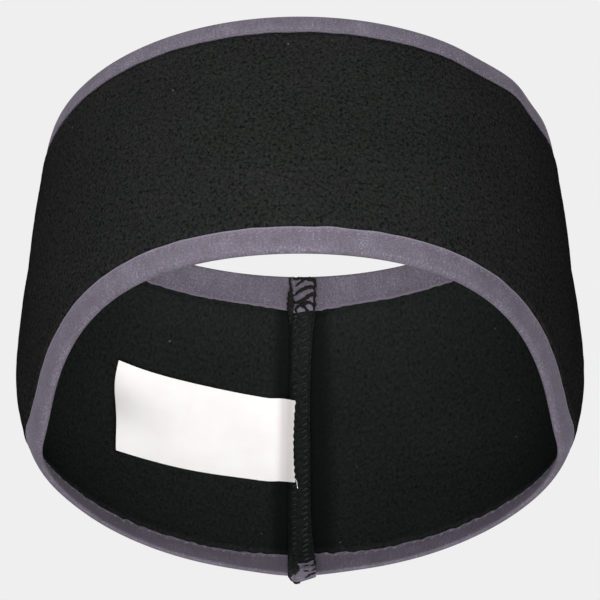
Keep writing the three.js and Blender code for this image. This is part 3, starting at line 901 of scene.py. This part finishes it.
def line_seed(paths):
    """A seed mesh of lines: each path holds its points in mm and its thickness."""
    mesh = bpy.data.meshes.new("thread_lines")
    points = np.concatenate([path for path, _ in paths]) * MM
    thick = np.concatenate([np.broadcast_to(width, len(path)) for path, width in paths]) * MM
    edges, first = [], 0
    for path, _ in paths:
        edges += [(first + i, first + i + 1) for i in range(len(path) - 1)]
        first += len(path)
    mesh.from_pydata(points.tolist(), edges, [])
    mesh.attributes.new("thickness", "FLOAT", "POINT").data.foreach_set("value", thick.astype(np.float32))
    made = bpy.data.objects.new("thread_lines", mesh)
    bpy.context.scene.collection.objects.link(made)
    return made


def bent_line(start, end, bow, twist, count=15):
    """Across and height from start to end, bowed to one side or bent both ways."""
    share = np.linspace(0, 1, count)
    bend = bow * np.sin(math.pi * share) + twist * np.sin(2 * math.pi * share)
    return mix(start[0], end[0], share), mix(start[1], end[1], share) + bend, share


def ridge_loop(start, end, bow, twist, thick):
    """A loop of thread lying on the seam allowance, its ends sunk in the cloth."""
    across, up, share = bent_line(start, end, bow, twist)
    lift = thick * (0.75 * np.sin(math.pi * share) ** 0.35 - 0.35)
    return on_ridge(across, up, lift), thick * (0.8 + 0.25 * np.sin(math.pi * share))


def ridge_cord(rows, step=0.5):
    """A thick cord on the seam allowance through rows of across, height, lift, thickness."""
    rows = np.array(rows)
    count = int(np.abs(np.diff(rows[:, 1])).sum() / step) + 4
    at = np.linspace(0, len(rows) - 1, count)
    across, up, lift, thick = (np.interp(at, np.arange(len(rows)), rows[:, i]) for i in range(4))
    return on_ridge(across, up, lift), thick


def overlock_paths():
    rng = np.random.default_rng(17)
    paths = [ridge_loop(*row) for row in TOP_LOOPS + BOTTOM_LOOPS]
    for up in np.arange(7.5, 90.0, LOOP_SPACING):
        edge = float(allowance_at(up) - seam_at(np.array([up]))[3][0])
        paths.append(ridge_loop((edge - 0.8, up + rng.uniform(-0.25, 0.25)), (edge + 0.5, up + 0.3),
                                0.1, 0.0, 0.24))
    ups = np.arange(5.0, 99.5, 0.45)
    edge = allowance_at(ups) - seam_at(ups)[3]
    out = smooth(ups, *CHAIN_OUT)
    turn = 2 * math.pi * ups / CHAIN_STITCH
    wave = 0.62 + 0.45 * out + 0.42 * np.sin(turn) + 0.12 * EDGE_WAVES(ups, 9.0)
    chain = on_ridge(edge + wave, ups, 0.15 + 0.5 * out)
    thick, swell = CHAIN_THICKNESS
    paths.append((chain, thick + swell * np.sin(turn + 1.0)))
    paths += [ridge_cord(rows) for rows in SEAM_CORDS]
    return paths


def needle_paths():
    """The needle threads' small loops, in two columns down the seam allowance."""
    rng = np.random.default_rng(17)
    paths = []
    for up in np.arange(6.5, 88.5, LOOP_SPACING):
        sway, lean = rng.uniform(-0.25, 0.25, 2)
        paths.append(ridge_loop((-2.9, up + lean), (-1.6, up + 0.9), 0.1, 0.0, 0.30))
        paths.append(ridge_loop((0.0 + sway, up + 0.9), (1.4 + sway, up + 1.5 + lean), 0.15, 0.0, 0.34))
    return paths


def label_thread_paths():
    """The loose end of the label's sewing thread, below the label's sewn corner."""
    share = np.linspace(0, 1, 12)
    _, inward = label_line()
    along = -0.2 + 0.9 * share + 0.15 * np.sin(5 * share)
    up = LABEL_EDGES[0][1] + 0.3 - 3.2 * share
    return [(on_band(along, inward[0] + 0.25 - 0.3 * share, up), 0.14)]


def stitch_seed(is_upper):
    """Points for a binding's two rows of stitches, with the way each one lies."""
    alongs = np.arange(BINDING_STITCH * 3, LOOP - 5, BINDING_STITCH)
    places, headings, facings = [], [], []
    wander, reach = ROW_WANDERS
    for side, inset, sunk in STITCH_ROWS["upper" if is_upper else "lower"]:
        further = wander * np.exp(-((alongs / reach) ** 2)) * (is_upper and side < 0)
        from_rim = leg_at(is_upper, side < 0, alongs) - inset - further
        up = BAND_HEIGHT - from_rim if is_upper else from_rim
        inward = -side * (bound_half(0) - sunk)
        places.append(on_band(alongs, inward, up))
        headings.append(on_band(alongs + 0.5, inward, up + 0.1) - on_band(alongs - 0.5, inward, up - 0.1))
        facings.append(on_band(alongs, inward - side, up) - places[-1])
    mesh = bpy.data.meshes.new("stitch_points")
    mesh.from_pydata((np.concatenate(places) * MM).tolist(), [], [])
    for key, values in (("heading", headings), ("facing", facings)):
        attribute = mesh.attributes.new(key, "FLOAT_VECTOR", "POINT")
        attribute.data.foreach_set("vector", np.concatenate(values).astype(np.float32).ravel())
    made = bpy.data.objects.new("stitch_points", mesh)
    bpy.context.scene.collection.objects.link(made)
    return made


fleece_cloth = make_fleece()
lower_tape = make_tape("lower_tape", False)
upper_tape = make_tape("upper_tape", True)
satin_label = make_label()

thread = thread_tree()
stitches = stitch_tree()
overlock_threads = grown("overlock_threads", line_seed(overlock_paths()), thread, {
    "Step": 0.00035, "Twist": 1900.0, "Fluff": 0.00025, "Material": black_thread})
needle_threads = grown("needle_threads", line_seed(needle_paths()), thread, {
    "Step": 0.00035, "Twist": 1900.0, "Fluff": 0.0002, "Material": needle_thread_highlit})
label_thread = grown("label_thread", line_seed(label_thread_paths()), thread, {
    "Step": 0.0003, "Twist": 2600.0, "Fluff": 0.00005, "Material": white_thread})
stitch_size = tuple(length * MM for length in STITCH_SIZE)
lower_stitches, upper_stitches = (
    grown(name, stitch_seed(is_upper), stitches, {"Size": stitch_size, "Material": grey_thread})
    for name, is_upper in (("lower_stitches", False), ("upper_stitches", True)))

slots = {
    fleece_cloth: "fleece", lower_tape: "binding_tape", upper_tape: "binding_tape",
    satin_label: "woven_label", overlock_threads: "overlock_thread", needle_threads: "overlock_thread",
    label_thread: "sewing_thread", lower_stitches: "sewing_thread", upper_stitches: "sewing_thread",
}
for piece, slot in slots.items():
    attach(piece, "root")
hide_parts("fleece_band")
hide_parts("lower_binding")
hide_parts("upper_binding")
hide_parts("care_label")


# Floor, light and camera

LIT_POINT = (0, 0, 0.05)
LIGHTS = (
    # name, place, size, power in watts
    ("softbox_below", (0.15, -1.3, -2.4), 2.6, 101),
    ("softbox_by_the_camera", (0, -2.3, -1.75), 1.0, 14),
    ("softbox_front", (-0.1, -2.7, 0.0), 1.4, 61),
    ("softbox_left", (-1.6, -2.2, 0.2), 1.2, 32),
    ("backdrop_glow", (0, 2.4, -1.6), 1.6, 26),
)


def backdrop_strength(tree):
    """The pale backdrop is seen at full brightness and lights the band more softly."""
    seen = add(tree, "ShaderNodeLightPath").outputs["Is Camera Ray"]
    return add(tree, "ShaderNodeMapRange", {0: seen, 3: 0.42, 4: 1.0}).outputs[0]


def make_floor():
    size, drop = 40.0, -4.6
    corners = [(-size, -size, drop), (size, -size, drop), (size, size, drop), (-size, size, drop)]
    mesh = bpy.data.meshes.new("studio_floor")
    mesh.from_pydata(corners, [], [(0, 1, 2, 3)])
    made, tree = new_material("studio_floor_lit_paper")
    shader = add(tree, "ShaderNodeEmission", {0: linear("#eeeeee"), 1: backdrop_strength(tree)})
    add(tree, "ShaderNodeOutputMaterial", {0: shader.outputs[0]})
    mesh.materials.append(made)
    floor = bpy.data.objects.new("studio_floor", mesh)
    bpy.context.scene.collection.objects.link(floor)


def make_world():
    world = bpy.data.worlds.new("studio")
    bpy.context.scene.world = world
    world.use_nodes = True
    tree = world.node_tree
    tree.nodes.clear()
    back = add(tree, "ShaderNodeBackground", {0: linear("#efefef"), 1: backdrop_strength(tree)})
    add(tree, "ShaderNodeOutputWorld", {0: back.outputs[0]})


def make_light(name, place, size, power):
    data = bpy.data.lights.new(name, "AREA")
    data.shape = "DISK"
    data.size = size
    data.energy = power
    made = bpy.data.objects.new(name, data)
    made.location = place
    towards = [t - p for t, p in zip(LIT_POINT, place)]
    made.rotation_euler = Vector(towards).to_track_quat("-Z", "Y").to_euler()
    bpy.context.scene.collection.objects.link(made)


def make_camera():
    """The photograph's view: from below the front, looking up by 38.45 degrees."""
    data = bpy.data.cameras.new("camera")
    data.sensor_width = 36.0
    data.lens = 491.8
    data.clip_end = 60.0
    made = bpy.data.objects.new("camera", data)
    made.location = (0.0, -2.013, -1.5503)
    made.rotation_euler = (math.pi / 2 + 0.671, 0, 0)
    bpy.context.scene.collection.objects.link(made)
    bpy.context.scene.camera = made


make_floor()
make_world()
for row in LIGHTS:
    make_light(*row)
make_camera()

# Colours come out as they are entered
bpy.context.scene.view_settings.view_transform = "Standard"
